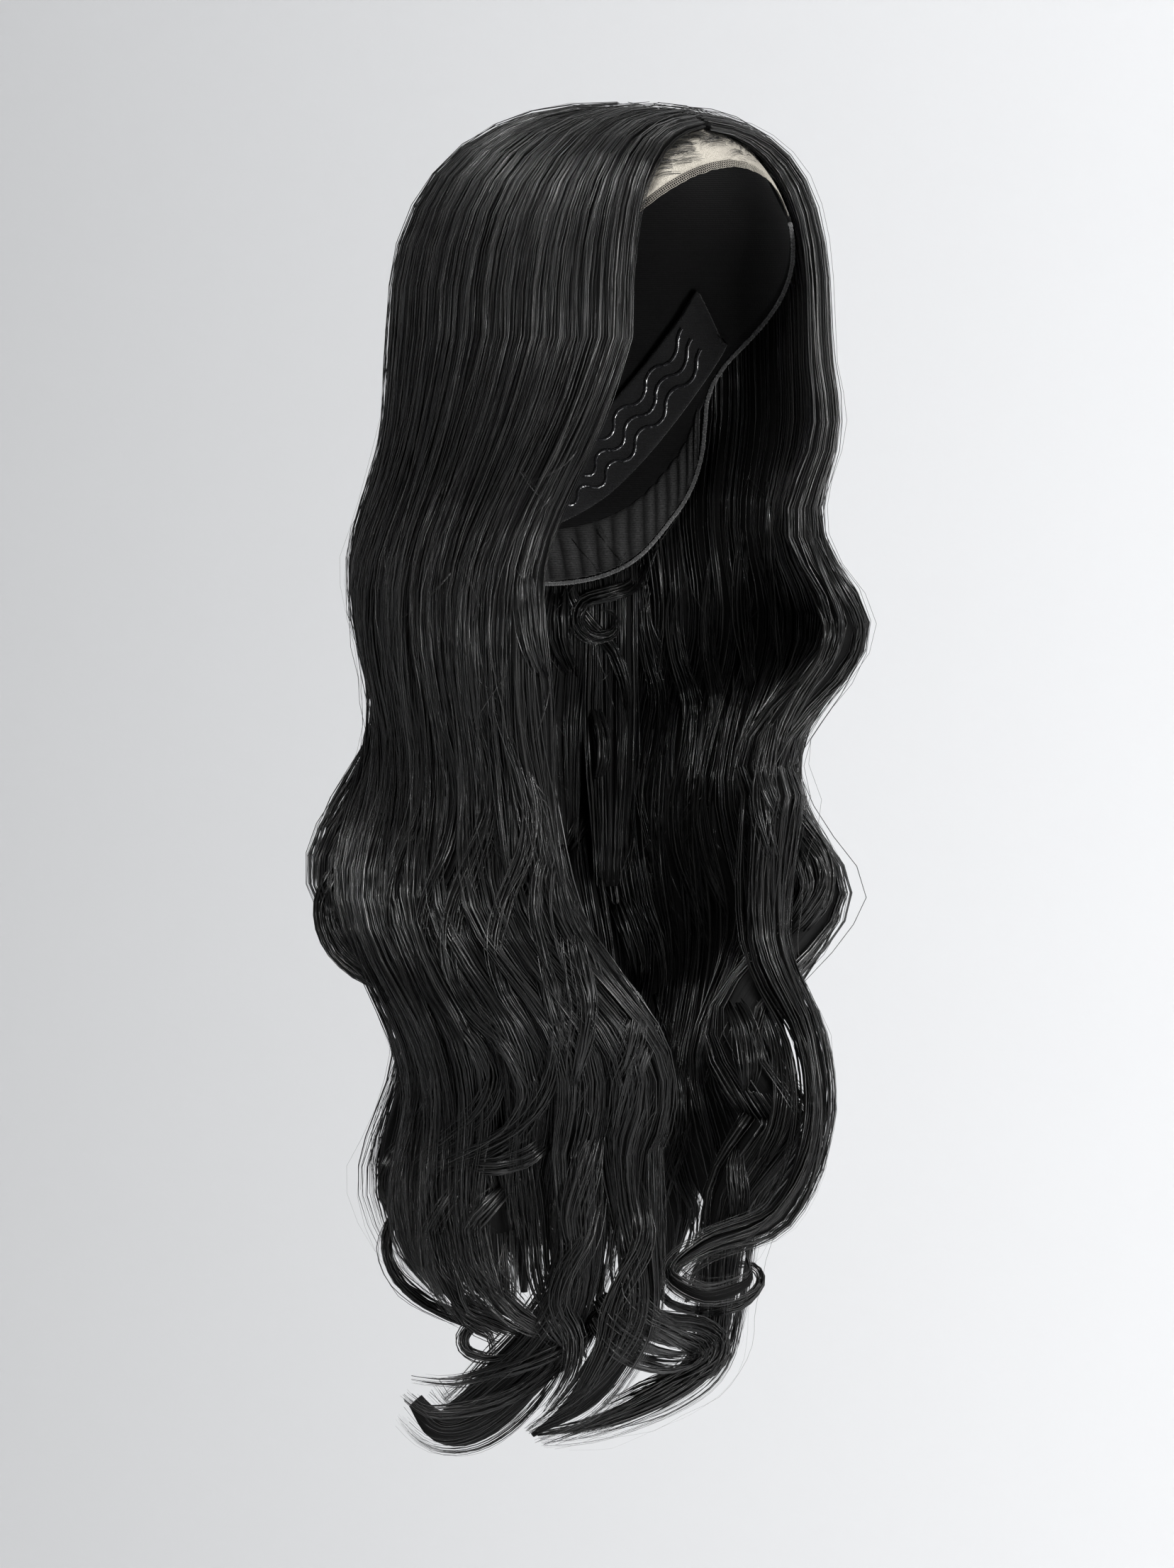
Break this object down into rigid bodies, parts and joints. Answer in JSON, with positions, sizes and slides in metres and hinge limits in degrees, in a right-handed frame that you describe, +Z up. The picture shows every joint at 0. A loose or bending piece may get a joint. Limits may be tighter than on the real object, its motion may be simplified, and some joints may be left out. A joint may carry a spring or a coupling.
{
  "type": "lace front wig",
  "caption": "Long black body wave wig held in its worn form: net front and parting, stretch cap with a gathered nape and an inner grip band.",
  "frame": {"origin": "crown seat: the inside of the cap at the top of the wearer's head", "axes": "+Z up, out of the crown; the wearer looks along -Y, and the wearer's left is +X"},
  "size_m": [0.2139, 0.218, 0.6003],
  "materials": {
    "hair": "near black fibre, soft neutral sheen",
    "stretch_cap": "matt black stretch knit",
    "elastic_nape": "matt black gathered elastic",
    "elastic_grip": "charcoal woven elastic",
    "silicone": "smooth clear silicone over black",
    "edge_thread": "soft grey-black overlock thread",
    "lace": "cream net, open at its raw edge"
  },
  "bodies": {
    "root": {"cap": "stretch_cap", "lace_front": "lace", "nape_band": "elastic_nape", "edge_binding": "edge_thread", "grip_band": "elastic_grip", "silicone_wave_1": "silicone", "silicone_wave_2": "silicone", "silicone_wave_3": "silicone", "hair_front_right": "hair", "hair_side_right": "hair", "hair_back_right": "hair", "hair_front_left": "hair", "hair_side_left": "hair", "hair_back_left": "hair", "hair_nape": "hair"}
  },
  "joints": []
}
